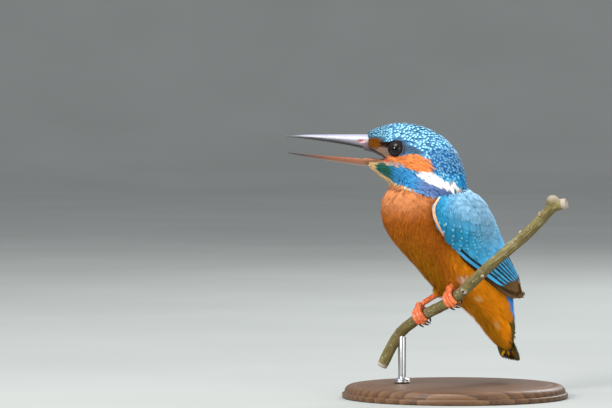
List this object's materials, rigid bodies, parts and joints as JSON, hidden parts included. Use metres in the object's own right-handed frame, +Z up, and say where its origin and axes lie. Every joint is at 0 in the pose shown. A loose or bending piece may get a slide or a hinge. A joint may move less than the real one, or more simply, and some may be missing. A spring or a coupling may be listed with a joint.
{
  "type": "common kingfisher",
  "caption": "Life-size still model of a common kingfisher, bill ajar, gripping a cut length of slanting twig held by a rod on a round wooden base.",
  "frame": {"origin": "centre of the underside of the round display base, on the surface that it stands on", "axes": "+Z up; the bill points along -X; the breast is turned partly towards -Y, the side that the bird is viewed from"},
  "size_m": [0.1311, 0.104, 0.127],
  "materials": {
    "plumage_blue": "glossy structural blue feathers, overlapping, with pale cyan spots on crown and wing coverts",
    "plumage_orange": "soft matt chestnut-orange feathers",
    "bill_horn": "smooth glossy horn, black above, reddish at the base below",
    "eye": "wet, glossy dark brown",
    "foot_skin": "waxy orange-red scaled skin",
    "claw_horn": "dark glossy horn",
    "bark": "green-brown young bark with pale buds and cut ends",
    "base_wood": "turned hardwood, satin varnish",
    "steel": "satin steel rod"
  },
  "bodies": {
    "root": {"stand_base": "base_wood", "stand_rod": "steel", "perch": "bark", "head": "plumage_blue", "neck": "plumage_blue", "trunk": "plumage_orange", "rump": "plumage_orange", "tail": "plumage_blue", "bill_upper": "bill_horn", "bill_lower": "bill_horn", "eye_left": "eye", "wing_left": "plumage_blue", "leg_left": "foot_skin", "foot_left": "foot_skin", "claw_left_outer": "claw_horn", "claw_left_middle": "claw_horn", "claw_left_inner": "claw_horn", "claw_left_hind": "claw_horn", "eye_right": "eye", "wing_right": "plumage_blue", "leg_right": "foot_skin", "foot_right": "foot_skin", "claw_right_outer": "claw_horn", "claw_right_middle": "claw_horn", "claw_right_inner": "claw_horn", "claw_right_hind": "claw_horn"}
  },
  "joints": []
}
